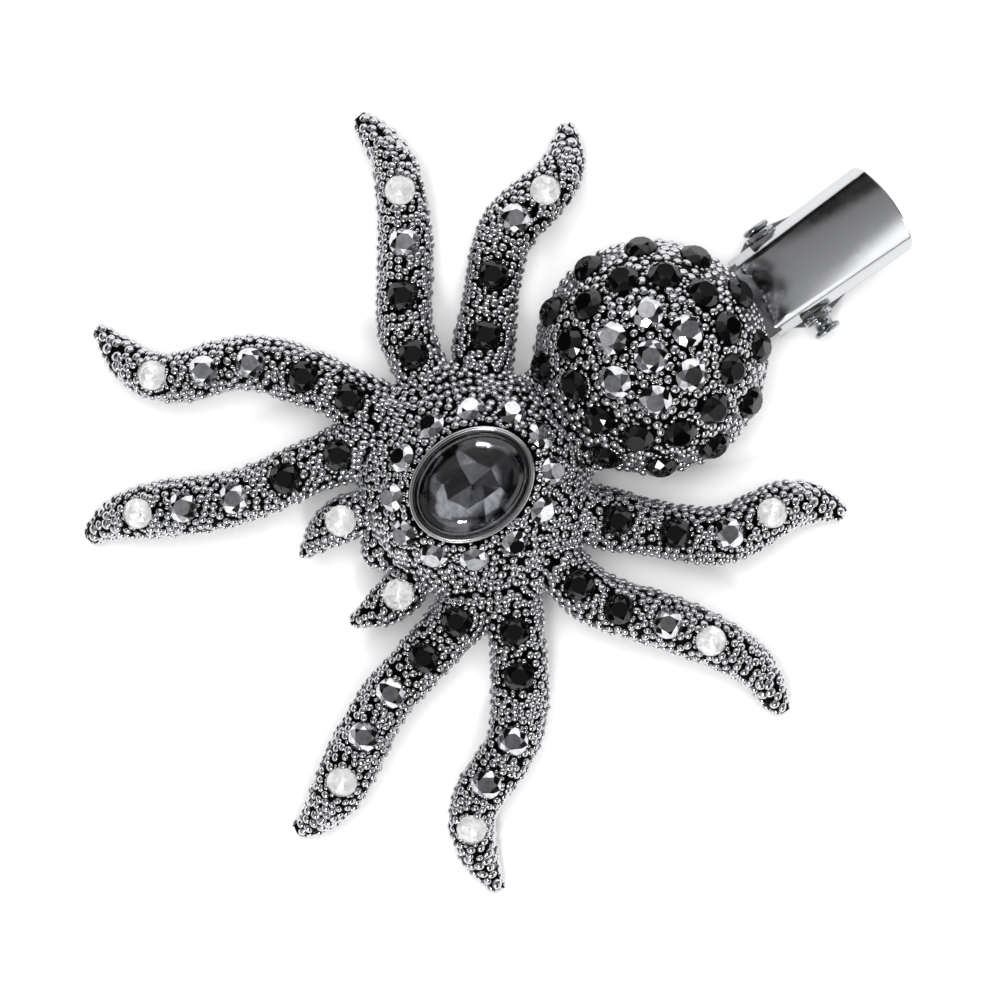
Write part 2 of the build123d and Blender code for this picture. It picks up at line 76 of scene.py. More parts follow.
def addNode(tree, kind, sockets=(), stops=(), **settings):
    # A node with its settings, a ramp's stops, and its live sockets, by name or in order, each set
    # to a value or linked to an output. A node given as a value stands for its first live output.
    node = tree.nodes.new(kind)
    for name, value in settings.items():
        setattr(node, name, value)
    for place, (at, colour) in enumerate(stops):
        elements = node.color_ramp.elements
        element = elements[place] if place < 2 else elements.new(at)
        element.position = at
        element.color = linear(colour)
    live = [socket for socket in node.inputs if socket.enabled]
    for name, value in sockets.items() if isinstance(sockets, dict) else enumerate(sockets):
        socket = node.inputs[name] if isinstance(name, str) else live[name]
        if isinstance(value, bpy.types.Node):
            value = next(output for output in value.outputs if output.enabled)
        if isinstance(value, bpy.types.NodeSocket):
            tree.links.new(value, socket)
        else:
            socket.default_value = value
    return node


def startMaterial(name):
    # A new material, ready for its nodes
    material = bpy.data.materials.new(name)
    material.use_nodes = True
    material.node_tree.nodes.clear()
    return material


def endMaterial(material, surface):
    # The material's one surface, with its sockets as given
    tree = material.node_tree
    shader = addNode(tree, "ShaderNodeBsdfPrincipled", surface)
    addNode(tree, "ShaderNodeOutputMaterial", [shader])
    return material


castingFinish = {
    "oxide": "#0a0a0b", "rubbed": "#c2c3c5",
    "oxideRoughness": 0.5, "rubbedRoughness": 0.3,
    "sideFrom": (0.48, 0.60),  # a face that points upward less than this is a side, and rubbed
    "patchSize": 1.6 * mm,  # the sides are rubbed in patches
    "patchEdge": (0.3, 0.6), "leastRubbed": 0.45,
    "grainSize": 0.16 * mm,  # pitting of the mould, about the smallest that shows
    "grainDepth": 0.02 * mm, "grainStrength": 0.6,
}


def castAlloy():
    # Zinc alloy, cast and plated gunmetal, then blackened and rubbed back. The oxide stays in the
    # hollows of the upper face, and the plain sides and the back are rubbed to a soft grey metal.
    look = castingFinish
    material = startMaterial("antiquedZincAlloy")
    tree = material.node_tree
    coords = addNode(tree, "ShaderNodeTexCoord").outputs
    upward = addNode(tree, "ShaderNodeSeparateXYZ", [coords["Normal"]]).outputs["Z"]
    side = addNode(tree, "ShaderNodeMapRange", [upward, *look["sideFrom"], 1.0, 0.0])
    patch = addNode(tree, "ShaderNodeTexNoise", {
        "Vector": coords["Object"], "Scale": 1 / look["patchSize"], "Detail": 2.0})
    share = addNode(tree, "ShaderNodeMapRange", [patch, *look["patchEdge"], look["leastRubbed"], 1.0])
    rubbed = addNode(tree, "ShaderNodeMath", [side, share], operation="MULTIPLY")
    colour = addNode(tree, "ShaderNodeMix", [rubbed, linear(look["oxide"]), linear(look["rubbed"])],
                     data_type="RGBA")
    grain = addNode(tree, "ShaderNodeTexNoise", {
        "Vector": coords["Object"], "Scale": 1 / look["grainSize"], "Detail": 3.0,
        "Roughness": 0.6})
    pits = addNode(tree, "ShaderNodeBump", {
        "Height": grain, "Distance": look["grainDepth"], "Strength": look["grainStrength"]})
    return endMaterial(material, {
        "Base Color": colour, "Metallic": 1.0, "Normal": pits,
        "Roughness": addNode(tree, "ShaderNodeMapRange", [
            rubbed, 0.0, 1.0, look["oxideRoughness"], look["rubbedRoughness"]])})


beadFinish = {
    # The foot colour is painted shade where a granule meets the casting, partly oxide in that crevice;
    # the rubbed colour is a painted highlight on the flanks
    "foot": "#08080a", "plate": "#c2c3c6", "rubbed": "#dcdde0",
    "footShadeHeight": (0.06, 0.34), "flankHighlightHeight": (0.50, 0.85),  # shares of a granule's height
    "topHighlightShare": 0.25,  # as a share of the flanks' painted highlight
    "patchSize": 0.9 * mm, "patchEdge": (0.35, 0.6), "leastRubbed": 0.55,
    "footRoughness": 0.45, "roughness": 0.18, "smoothFrom": 0.3,
}


def gunmetalWithPaintedLight():
    # Gunmetal plate on cast granules, polished by rubbing: each granule gives a hard bright
    # highlight. Its foot is painted black, as painted shade where it meets the casting and partly
    # oxide in that crevice. The flanks are painted paler than the tops, patch by patch, as a
    # painted highlight.
    look = beadFinish
    material = startMaterial("gunmetalPlatePaintedLight")
    tree = material.node_tree
    height = addNode(tree, "ShaderNodeAttribute", attribute_name="beadHeight").outputs["Fac"]
    patch = addNode(tree, "ShaderNodeTexNoise", {
        "Vector": addNode(tree, "ShaderNodeTexCoord").outputs["Object"],
        "Scale": 1 / look["patchSize"], "Detail": 1.0})
    # Painted highlight: the flanks are painted paler than the tops, in patches
    flankHighlight = addNode(tree, "ShaderNodeMath", [
        addNode(tree, "ShaderNodeMapRange", [height, *look["flankHighlightHeight"], 1.0, look["topHighlightShare"]]),
        addNode(tree, "ShaderNodeMapRange", [patch, *look["patchEdge"], look["leastRubbed"], 1.0]),
    ], operation="MULTIPLY")
    plate = addNode(tree, "ShaderNodeMix", [flankHighlight, linear(look["plate"]), linear(look["rubbed"])],
                    data_type="RGBA")
    # Painted shade: each granule's lowest part fades to the black foot, partly oxide in the crevice
    aboveFootShade = addNode(tree, "ShaderNodeMapRange", [height, *look["footShadeHeight"], 0.0, 1.0])
    return endMaterial(material, {
        "Base Color": addNode(tree, "ShaderNodeMix", [aboveFootShade, linear(look["foot"]), plate],
                              data_type="RGBA"),
        "Metallic": 1.0,
        "Roughness": addNode(tree, "ShaderNodeMapRange", [
            height, 0.0, look["smoothFrom"], look["footRoughness"], look["roughness"]])})


platedFinish = {
    "levers": {"name": "polishedNickelPlate", "colour": "#c0c1c3", "roughness": 0.14, "smudge": 0.08,
               "edge": 0.16 * mm},
    "rim": {"name": "burnishedBezelStrip", "colour": "#e2e3e5", "roughness": 0.13, "smudge": 0.10,
            "edge": 0.02 * mm},
    "axle": {"name": "tumbledSteelTube", "colour": "#a4a6a9", "roughness": 0.16, "smudge": 0.10,
             "edge": 0.10 * mm},
    "spring": {"name": "drawnSpringWire", "colour": "#8e9093", "roughness": 0.24, "smudge": 0.08,
               "edge": 0.02 * mm},
}
platedMarks = {
    "smudgeSize": 2.4 * mm, "smudgeEdge": (0.35, 0.7),
    "rubWidth": 0.25 * mm, "rubLength": 4.0 * mm,  # coarser than real rubbing marks, so they show
    "rubDepth": 0.002 * mm, "rubStrength": 0.3,
    "edgeSamples": 6,
}


def platedMetal(part):
    # Smooth metal, plated and polished: near mirror, with faint smudges that only vary its gloss,
    # shallow rubbing marks, and edges broken by tumbling, which catch a fine line of light
    look, marks = platedFinish[part], platedMarks
    material = startMaterial(look["name"])
    tree = material.node_tree
    place = addNode(tree, "ShaderNodeTexCoord").outputs["Object"]
    smudge = addNode(tree, "ShaderNodeTexNoise", {
        "Vector": place, "Scale": 1 / marks["smudgeSize"], "Detail": 4.0, "Roughness": 0.65})
    across = 1 / marks["rubWidth"]
    stretched = addNode(tree, "ShaderNodeMapping", {
        "Vector": place, "Scale": (across, 1 / marks["rubLength"], across)})
    rubs = addNode(tree, "ShaderNodeTexNoise", {"Vector": stretched, "Scale": 1.0, "Detail": 2.0})
    edges = addNode(tree, "ShaderNodeBevel", {"Radius": look["edge"]}, samples=marks["edgeSamples"])
    return endMaterial(material, {
        "Base Color": linear(look["colour"]), "Metallic": 1.0,
        "Roughness": addNode(tree, "ShaderNodeMapRange", [
            smudge, *marks["smudgeEdge"], look["roughness"], look["roughness"] + look["smudge"]]),
        "Normal": addNode(tree, "ShaderNodeBump", {
            "Height": rubs, "Distance": marks["rubDepth"], "Strength": marks["rubStrength"],
            "Normal": edges})})


stoneFinish = {
    "jet": {"name": "jetGlass", "colour": "#050506", "ior": 1.50, "roughness": 0.03, "clear": 0.0},
    "crystal": {"name": "leadCrystalGlass", "colour": "#ffffff", "ior": 1.56, "roughness": 0.0,
                "clear": 1.0},
    "smoke": {"name": "smokedCrystalGlass", "colour": "#8e8f92", "ior": 1.56, "roughness": 0.0,
              "clear": 1.0},
}
filmFinish = {
    "hematite": {"name": "hematiteCoatedGlass", "colour": "#dcdde0", "thin": "#bcbdc0",
                 "metallic": 1.0, "roughness": 0.07},
    "foil": {"name": "silverFoilBack", "colour": "#ffffff", "thin": "#f0f0f0",
             "metallic": 0.2, "roughness": 0.12},
    "darkFoil": {"name": "greyFoilBack", "colour": "#98999c", "thin": "#7c7d80",
                 "metallic": 1.0, "roughness": 0.10},
}
filmPattern = {"size": 0.7 * mm, "thinBelow": 0.35, "fullAbove": 0.62}  # where a film is thin


def polishedGlass(kind):
    # Pressed or cut glass, fire polished, with the sharp glints of a glass surface: jet is opaque
    # and black, and crystal is clear or smoked and bends what shows from its foil
    look = stoneFinish[kind]
    return endMaterial(startMaterial(look["name"]), {
        "Base Color": linear(look["colour"]), "Roughness": look["roughness"], "IOR": look["ior"],
        "Transmission Weight": look["clear"]})


def coatedGlass(kind):
    # Glass under a thin metal film, fired hematite on the grey stones and foil on the backs:
    # mirror facets, a little uneven where the film is thin
    look, pattern = filmFinish[kind], filmPattern
    material = startMaterial(look["name"])
    tree = material.node_tree
    film = addNode(tree, "ShaderNodeTexNoise", {
        "Vector": addNode(tree, "ShaderNodeTexCoord").outputs["Object"],
        "Scale": 1 / pattern["size"], "Detail": 3.0})
    shade = addNode(tree, "ShaderNodeValToRGB", [film], [
        (pattern["thinBelow"], look["thin"]), (pattern["fullAbove"], look["colour"])])
    return endMaterial(material, {
        "Base Color": shade, "Metallic": look["metallic"], "Roughness": look["roughness"]})


finishes = {
    "casting": castAlloy(),
    "bead": gunmetalWithPaintedLight(),
    **{kind: polishedGlass(kind) for kind in stoneFinish},
    **{kind: coatedGlass(kind) for kind in filmFinish},
    **{part: platedMetal(part) for part in platedFinish},
}
print("materials made:", len(finishes))


def inScene(name, data):
    # An object at the origin, with its place in its data
    thing = bpy.data.objects.new(name, data)
    bpy.context.scene.collection.objects.link(thing)
    return thing


def meshFrom(mesh, name):
    data = bpy.data.meshes.new(name)
    mesh.to_mesh(data)
    mesh.free()
    return data


def pieceFrom(mesh, name, *materials):
    bmesh.ops.recalc_face_normals(mesh, faces=mesh.faces)
    data = meshFrom(mesh, name)
    for material in materials:
        data.materials.append(material)
    return inScene(name, data)


def plainMeshOf(worker, name):
    # The evaluated object as a plain mesh piece of its own
    graph = bpy.context.evaluated_depsgraph_get()
    data = bpy.data.meshes.new_from_object(worker.evaluated_get(graph))
    data.name = name
    return inScene(name, data)


def standFor(piece, slot, *names):
    # A piece of the ornament, in place of the CAD nodes that are named
    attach(piece, "ornament")
    if names:
        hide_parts(*names)


def dress(name, finish):
    # A CAD node keeps its shape and takes a finish
    slots = cadNodes[name].data.materials
    slots.clear()
    slots.append(finishes[finish])


def weldedCopy(name):
    # A copy of a CAD node's loose triangles, joined at their corners
    welded = bmesh.new()
    welded.from_mesh(cadNodes[name].data)
    bmesh.ops.remove_doubles(welded, verts=welded.verts, dist=0.001 * mm)
    return welded


def boxOf(name):
    # A node's box as its corners, its middle and half its size
    low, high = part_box(name)
    return low, high, (low + high) / 2, (high - low) / 2


def ringOf(mesh, count, radius, height, turn):
    # A ring of corners; turn is in steps of the ring
    angles = [math.tau * (place + turn) / count for place in range(count)]
    return [mesh.verts.new((radius * math.cos(a), radius * math.sin(a), height)) for a in angles]


def joinRings(mesh, below, above, smooth=True):
    # A band of faces between two rings of as many corners
    count = len(below)
    for place in range(count):
        after = (place + 1) % count
        corners = (below[place], below[after], above[after], above[place])
        mesh.faces.new(corners).smooth = smooth


def seatOf(faces):
    # Where a stone sits: the middle of its back, its axis and its radius
    areas = np.array([face.calc_area() for face in faces])
    normals = np.array([face.normal for face in faces])
    middles = np.array([face.calc_center_median() for face in faces])
    axis = Vector(np.linalg.eigh((normals * areas[:, None]).T @ normals)[1][:, -1])
    if axis.z < 0:
        axis.negate()
    middle = Vector((middles * areas[:, None]).sum(0) / areas.sum())
    corners = [corner.co - middle for face in faces for corner in face.verts]
    low = min(corner.dot(axis) for corner in corners)
    radius = max((corner - axis * corner.dot(axis)).length for corner in corners)
    return middle + axis * low, axis, radius


def seatsIn(name):
    # The seats of a node's separate solids, in the order of their faces
    welded = weldedCopy(name)
    seats = []
    taken = set()
    for first in welded.faces:
        if first in taken:
            continue
        found = []
        edge = [first]
        taken.add(first)
        while edge:
            face = edge.pop()
            found.append(face)
            for near in [near for corner in face.verts for near in corner.link_faces]:
                if near not in taken:
                    taken.add(near)
                    edge.append(near)
        seats.append(seatOf(found))
    welded.free()
    return seats


chatonCut = {
    "sides": 8,
    "back": 0.60, "table": 0.56, "star": 0.76, "waist": 0.55,  # shares of the radius
    "girdleFoot": 0.80 * mm, "girdleTop": 1.05 * mm, "top": 1.65 * mm,
    "waistHeight": 0.30 * mm, "pointHeight": 0.04 * mm,  # the foiled back's
}


def cutChaton(mesh, seat, turn, foiled):
    # Round stone: octagon table, stars, kites and halves over a round girdle. The back is flat
    # on an opaque stone and a shallow eight-sided point, foiled, on a clear one.
    cut, sides = chatonCut, chatonCut["sides"]
    foot, axis, radius = seat
    first = len(mesh.verts)
    slope = (cut["girdleTop"] - cut["top"]) / (1 - cut["table"])
    starHeight = cut["top"] + (cut["star"] * math.cos(math.pi / sides) - cut["table"]) * slope
    table = ringOf(mesh, sides, cut["table"] * radius, cut["top"], 0)
    stars = ringOf(mesh, sides, cut["star"] * radius, starHeight, 0.5)
    upper = ringOf(mesh, 2 * sides, radius, cut["girdleTop"], 0)
    lower = ringOf(mesh, 2 * sides, radius, cut["girdleFoot"], 0)
    if foiled:
        point = mesh.verts.new((0, 0, cut["pointHeight"]))
        back = ringOf(mesh, sides, cut["waist"] * radius, cut["waistHeight"], 0.5)
    else:
        back = ringOf(mesh, sides, cut["back"] * radius, 0, 0)
        mesh.faces.new(back[::-1])
    mesh.faces.new(table)
    joinRings(mesh, lower, upper, smooth=False)
    for place in range(sides):
        after = (place + 1) % sides
        near, between, far = 2 * place, 2 * place + 1, 2 * after  # along the girdle
        mesh.faces.new((table[place], stars[place], table[after]))
        mesh.faces.new((table[place], stars[place - 1], upper[near], stars[place]))
        mesh.faces.new((stars[place], upper[near], upper[between]))
        mesh.faces.new((stars[place], upper[between], upper[far]))
        if foiled:
            for corners in ((point, back[after], back[place]),
                            (back[place - 1], back[place], lower[near]),
                            (lower[near], back[place], lower[between]),
                            (lower[between], back[place], lower[far])):
                mesh.faces.new(corners).material_index = 1
        else:
            mesh.faces.new((back[place], lower[between], lower[near]))
            mesh.faces.new((back[place], back[after], lower[between]))
            mesh.faces.new((back[after], lower[far], lower[between]))
    mesh.verts.ensure_lookup_table()
    move = Matrix.Translation(foot) @ axis.to_track_quat("Z", "Y").to_matrix().to_4x4()
    move = move @ Matrix.Rotation(turn, 4, "Z")
    bmesh.ops.transform(mesh, matrix=move, verts=mesh.verts[first:])


stoneField = {
    # Each limb's tones run from its root to its tip
    "limbs": {
        "rear_leg": "jet jet hematite crystal",
        "side_leg": "jet jet hematite crystal",
        "front_side_leg": "jet jet hematite hematite crystal",
        "front_leg": "jet jet hematite hematite crystal",
        "palp": "crystal",
    },
    "slots": {"jet": "stone_black", "hematite": "stone_grey", "crystal": "stone_clear"},
    "greyWithin": 26.0,  # degrees round the abdomen's pole
    "seed": 5,  # stones are set by hand, each turned its own way
}


def setStones():
    look = stoneField
    hand = random.Random(look["seed"])
    cut = 0

    def stonesFor(seats, name, tone, *nodes):
        mesh = bmesh.new()
        clear = tone == "crystal"
        for seat, turn in seats:
            cutChaton(mesh, seat, turn, clear)
        backs = [finishes["foil"]] if clear else []
        piece = pieceFrom(mesh, name, finishes[tone], *backs)
        standFor(piece, look["slots"][tone], *nodes)
        return len(seats)

    def turned(name):
        return [(seat, hand.uniform(0, math.tau)) for seat in seatsIn(name)]

    for tone in look["slots"]:
        nodes = [f"{limb}_{side}_stone_{number}" for limb, tones in look["limbs"].items()
                 for side in ("right", "left")
                 for number, named in enumerate(tones.split(), start=1) if named == tone]
        seats = [seat for name in nodes for seat in turned(name)]
        cut += stonesFor(seats, f"limb_stones_{tone}", tone, *nodes)
    cut += stonesFor(turned("thorax_stones"), "thorax_ring_stones", "hematite", "thorax_stones")

    # On the abdomen the stones round the pole are coated grey and all the others are jet
    inner, outer = [], []
    for seat, turn in turned("abdomen_stones"):
        leaning = math.degrees(seat[1].angle(Vector((0, 0, 1))))
        (inner if leaning < look["greyWithin"] else outer).append((seat, turn))
    cut += stonesFor(outer, "abdomen_stones_jet", "jet", "abdomen_stones")
    cut += stonesFor(inner, "abdomen_stones_hematite", "hematite")
    print("stones cut:", cut)


setStones()


ovalCut = {
    # Crown: smooth, from the girdle to the table, as shares of the half widths and heights
    "crown": [(1.00, 1.10 * mm), (0.975, 1.40 * mm), (0.93, 1.70 * mm), (0.87, 1.97 * mm),
              (0.79, 2.22 * mm), (0.70, 2.42 * mm), (0.60, 2.56 * mm), (0.50, 2.64 * mm),
              (0.40, 2.68 * mm)],
    "crownSides": 64,
    # Foiled point below: rings of a share, a height, how many corners and a turn
    "point": [(1.00, 1.02 * mm, 32, 0), (0.75, 0.82 * mm, 16, 0.5), (0.44, 0.58 * mm, 8, 0)],
    "uneven": (0.26 * mm, 0.26 * mm, 0.09 * mm),  # ground by hand: how far inner corners stray
    "seed": 8,
}


def cutOval():
    # Large oval stone of smoked crystal: a smooth rounded crown, a flat table, and a foiled back
    # of many facets that shows through both
    cut = ovalCut
    low, high, middle, half = boxOf("oval_stone")
    hand = random.Random(cut["seed"])
    mesh = bmesh.new()

    def ovalRing(count, share, height, turn):
        corners = ringOf(mesh, count, share, height, turn)
        for corner in corners:
            corner.co.x *= half.x
            corner.co.y *= half.y
        return corners

    sides = cut["crownSides"]
    crown = [ovalRing(sides, share, height, 0) for share, height in cut["crown"]]
    for below, above in zip(crown, crown[1:]):
        joinRings(mesh, below, above)
    mesh.faces.new(crown[-1])
    outer, waist, heart = [ovalRing(count, share, height, turn)
                           for share, height, count, turn in cut["point"]]
    for corner in waist + heart:
        corner.co += Vector([hand.uniform(-stray, stray) for stray in cut["uneven"]])
    tip = mesh.verts.new((0, 0, 0))
    for place, near in enumerate(outer):  # girdle, with two crown corners to each lower one
        far = outer[(place + 1) % len(outer)]
        start, between, end = [crown[0][(2 * place + step) % sides] for step in range(3)]
        mesh.faces.new((start, near, between))
        mesh.faces.new((between, near, far, end))
    foiled = []
    for place, corner in enumerate(waist):
        near = [outer[(2 * place + step) % len(outer)] for step in range(3)]
        foiled += [(corner, near[0], near[1]), (corner, near[1], near[2]),
                   (corner, near[2], waist[(place + 1) % len(waist)])]
    for place, corner in enumerate(heart):
        after = heart[(place + 1) % len(heart)]
        foiled += [(corner, waist[2 * place - 1], waist[2 * place]),
                   (corner, waist[2 * place], waist[2 * place + 1], after), (tip, corner, after)]
    for corners in foiled:
        mesh.faces.new(corners).material_index = 1
    bmesh.ops.translate(mesh, verts=mesh.verts, vec=(middle.x, middle.y, low.z))
    piece = pieceFrom(mesh, "smoked_oval_stone", finishes["smoke"], finishes["darkFoil"])
    standFor(piece, "stone_smoky", "oval_stone")


settingRim = {
    "turns": 96,
    "floor": 0.35 * mm,  # thickness of the cup's floor
    # Across the rim in millimetres: in from the outer edge, and down from the top
    "profile": [(0.00, 0.30), (0.02, 0.12), (0.07, 0.02), (0.13, 0.00), (0.18, 0.04),
                (0.21, 0.11), (0.25, 0.05), (0.31, 0.04), (0.37, 0.09), (0.40, 0.24)],
}


def drawSetting():
    # Bezel strip burnished over the stone's edge: a round outer bead, a groove and a thin lip
    look = settingRim
    low, high, middle, half = boxOf("oval_setting")
    edge, lip = look["profile"][0], look["profile"][-1]
    rows = [(edge[0] * mm, low.z)]
    rows += [(inward * mm, high.z - down * mm) for inward, down in look["profile"]]
    rows.append((lip[0] * mm, low.z + look["floor"]))
    mesh = bmesh.new()
    rings = []
    for inward, height in rows:
        ring = []
        for place in range(look["turns"]):
            angle = math.tau * place / look["turns"]
            across, along = math.cos(angle), math.sin(angle)
            normal = Vector((across / half.x, along / half.y)).normalized()
            ring.append(mesh.verts.new((middle.x + half.x * across - normal.x * inward,
                                        middle.y + half.y * along - normal.y * inward, height)))
        rings.append(ring)
    for below, above in zip(rings, rings[1:]):
        joinRings(mesh, below, above)
    mesh.faces.new(rings[-1])
    mesh.faces.new(rings[0][::-1])
    standFor(pieceFrom(mesh, "burnished_oval_rim", finishes["rim"]), "polished_rim", "oval_setting")


cutOval()
drawSetting()
print("oval stone cut and set")


axleTube = {
    "turns": 32,
    # Millimetres along the tube, and its radius there: lips rolled back from both ends, and a
    # collar outside the right ear, with a neck between them
    "lip": [(0.16, 0.66), (0.04, 0.74), (0.00, 0.86), (0.00, 1.04), (0.06, 1.20), (0.18, 1.31),
            (0.32, 1.33), (0.46, 1.24), (0.55, 1.08)],
    "collar": [(0.03, 0.98), (0.03, 1.24), (0.08, 1.32), (0.20, 1.32), (0.26, 1.22), (0.30, 0.92)],
    "neck": 0.86 * mm, "neckStart": 0.36 * mm, "neckEnd": 0.62 * mm,  # from the ear, from the end
    "body": 0.98 * mm,
    "bore": 0.62 * mm, "boreStart": 0.40 * mm,
}


def rollAxle():
    # Tubular rivet: a length of tube turned down to a neck, its ends rolled over
    look = axleTube
    low, high, middle, half = boxOf("clip_axle")
    earLow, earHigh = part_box("clip_lower_arm")
    lip = [(out * mm, radius * mm) for out, radius in look["lip"]]
    rows = [(low.x + out, radius) for out, radius in lip]
    rows += [(earLow.x, look["body"]), (earHigh.x, look["body"])]
    rows += [(earHigh.x + out * mm, radius * mm) for out, radius in look["collar"]]
    rows += [(earHigh.x + look["neckStart"], look["neck"]), (high.x - look["neckEnd"], look["neck"])]
    rows += [(high.x - out, radius) for out, radius in reversed(lip)]
    rows += [(high.x - look["boreStart"], look["bore"]), (low.x + look["boreStart"], look["bore"])]
    angles = [math.tau * place / look["turns"] for place in range(look["turns"])]
    mesh = bmesh.new()
    rings = [[mesh.verts.new((along, middle.y + radius * math.cos(angle),
                              middle.z + radius * math.sin(angle))) for angle in angles]
             for along, radius in rows]
    for ring, beyond in zip(rings, rings[1:] + rings[:1]):
        joinRings(mesh, ring, beyond)
    standFor(pieceFrom(mesh, "rolled_axle", finishes["axle"]), "polished_clip", "clip_axle")


springCoil = {
    "turns": 5.5, "stepsEachTurn": 24,
    "radius": 1.35 * mm,
    "endRoom": 0.25 * mm,  # from the box's side to the middle of the outermost turn
    "leg": 7.0 * mm, "wire": 0.23 * mm,  # straight leg's length, and the wire's radius
    "wireSteps": 3,
}


def legLean(height, out, length):
    # How far a straight leg leans where its end stands at a height from the axle
    reach = math.hypot(out, length)
    return math.asin(height / reach) - math.atan2(out, length)


def windSpring():
    # Coil round the axle with one leg under the thumb lever and one along the lower arm
    look = springCoil
    low, high, middle, half = boxOf("clip_spring")
    axle = boxOf("clip_axle")[2]
    out = look["radius"] + look["wire"]
    upperLean = legLean(high.z - axle.z, out, look["leg"])
    lowerLean = -legLean(axle.z - low.z, out, look["leg"])
    first = math.pi / 2 + upperLean
    last = -math.pi / 2 + lowerLean + math.tau * math.ceil(look["turns"])
    count = round(look["turns"] * look["stepsEachTurn"])

    def rim(share):
        angle = first + (last - first) * share
        across = middle.x + (half.x - look["endRoom"]) * (1 - 2 * share)
        return Vector((across, axle.y + look["radius"] * math.cos(angle),
                       axle.z + look["radius"] * math.sin(angle)))

    def run(lean):
        return Vector((0, math.cos(lean), math.sin(lean))) * look["leg"]

    path = [rim(0) + run(upperLean)]
    path += [rim(step / count) for step in range(count + 1)]
    path.append(rim(1) + run(lowerLean))
    curve = bpy.data.curves.new("springPath", "CURVE")
    curve.dimensions = "3D"
    curve.bevel_depth = look["wire"]
    curve.bevel_resolution = look["wireSteps"]
    curve.use_fill_caps = True
    line = curve.splines.new("POLY")
    line.points.add(len(path) - 1)
    for point, at in zip(line.points, path):
        point.co = (*at, 1)
    worker = inScene("springPath", curve)
    piece = plainMeshOf(worker, "coil_spring")
    bpy.data.objects.remove(worker)
    for face in piece.data.polygons:
        face.use_smooth = True
    piece.data.materials.clear()
    piece.data.materials.append(finishes["spring"])
    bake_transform(piece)
    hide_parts("clip_spring")


dress("spider_casting", "casting")
dress("clip_upper_arm", "levers")
dress("clip_lower_arm", "levers")
rollAxle()
windSpring()
print("clip finished")


granules = {
    "sides": 8, "rings": 3,
    "edgeLean": 58,  # degrees of slope where a granule meets the skin
    "skirt": 0.25,  # how deep its side goes into the skin, as a share of its radius
    # Millimetres, but for the seed and how far from level a face is that still has granules
    "legs": {"spacing": 0.60, "least": 0.25, "most": 0.46, "seed": 3, "steepest": 0.38},
    "tips": {"spacing": 0.74, "least": 0.40, "most": 0.62, "seed": 9, "steepest": 0.05},
    "thorax": {"spacing": 0.62, "least": 0.25, "most": 0.47, "seed": 5, "steepest": 0.24},
    "abdomen": {"spacing": 0.74, "least": 0.29, "most": 0.53, "seed": 6, "steepest": 0.32},
    "density": 40.0,  # candidates for each square millimetre, thinned to the spacing
    "relaxSteps": 10, "relaxTo": 1.14,  # neighbours are pushed apart to this share of the spacing
    "overlap": 0.68,  # radius as a share of the way to the nearest neighbour
    "squash": (0.70, 0.84, 0.66),  # least width, length and height as shares of a full ball's
    "stoneMargin": 0.26,  # from a stone's edge to a granule's middle
    "fillSpacing": 0.30, "fillLeast": 0.11, "fillMost": 0.24,  # small ones in the gaps
    "fillOverlap": 0.09,
    "endLift": 0.52, "endRadius": 0.50,  # one granule covers the cut end of each leg
}
skinPlaces = {
    "abdomenBeyond": 0.2 * mm,  # beyond the outermost stones
    "thoraxBeyond": (3.2 * mm, 2.0 * mm),  # sideways and lengthways
    "tipsBelow": 3.4 * mm, "tipsFrom": 26 * mm,  # height, and distance from the middle
    "endHeight": 0.02 * mm, "endWidth": 2.0 * mm,  # within which a leg end's low corners lie
}


def granuleMesh():
    # A ball cut off below its middle, with its height kept for the finish
    sides, count = granules["sides"], granules["rings"]
    edge = math.radians(granules["edgeLean"])
    ball = 1 / math.sin(edge)
    mesh = bmesh.new()
    top = mesh.verts.new((0, 0, ball * (1 - math.cos(edge))))
    leans = [edge * (number + 1) / count for number in range(count)]
    rings = [ringOf(mesh, sides, ball * math.sin(lean), ball * (math.cos(lean) - math.cos(edge)),
                    0.5 * number) for number, lean in enumerate(leans)]
    skirt = ringOf(mesh, sides, 1.0, -granules["skirt"], 0.5 * (count - 1))
    for place in range(sides):
        after = (place + 1) % sides
        mesh.faces.new((top, rings[0][place], rings[0][after]))
        for above, below in zip(rings, rings[1:]):
            mesh.faces.new((above[place], below[place], above[after]))
            mesh.faces.new((above[after], below[place], below[after]))
        mesh.faces.new((rings[-1][place], skirt[place], skirt[after], rings[-1][after]))
    foot = mesh.faces.new(skirt[::-1])
    bmesh.ops.recalc_face_normals(mesh, faces=mesh.faces)
    for face in mesh.faces:
        face.smooth = face != foot
    height = top.co.z
    data = meshFrom(mesh, "granule")
    heights = data.attributes.new("beadHeight", "FLOAT", "POINT")
    heights.data.foreach_set("value", [corner.co.z / height for corner in data.vertices])
    return inScene("granule", data)


